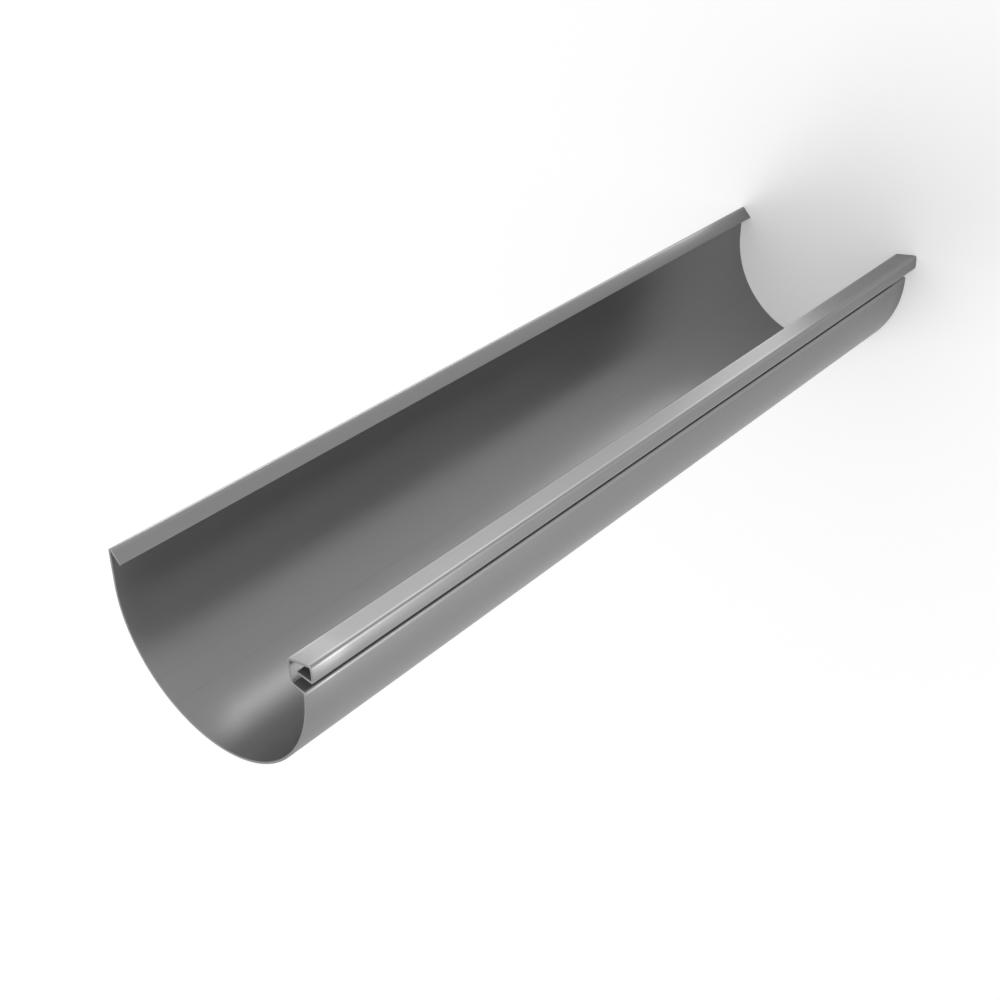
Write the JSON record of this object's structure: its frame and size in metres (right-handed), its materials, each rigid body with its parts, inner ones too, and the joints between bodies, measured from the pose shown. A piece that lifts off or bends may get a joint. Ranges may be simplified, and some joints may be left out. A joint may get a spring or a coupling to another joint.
{
  "type": "gutter section",
  "caption": "Half-round rainwater gutter length in satin sheet metal, with a folded lip at the back and an open box bead at the front.",
  "frame": {"origin": "middle of the footprint at floor level, with the piece standing on one of its square cut ends", "axes": "+Z up along the stock, -Y to the open side of the trough, +X to the back wall and -X to the bead. Hung in its brackets, its -Y is up and its -X is the front"},
  "size_m": [0.1304, 0.0828, 0.533],
  "materials": {
    "gutter_sheet": "satin, as rolled, bare sheet with bare cut edges"
  },
  "bodies": {
    "root": {"gutter": "gutter_sheet"}
  },
  "joints": []
}
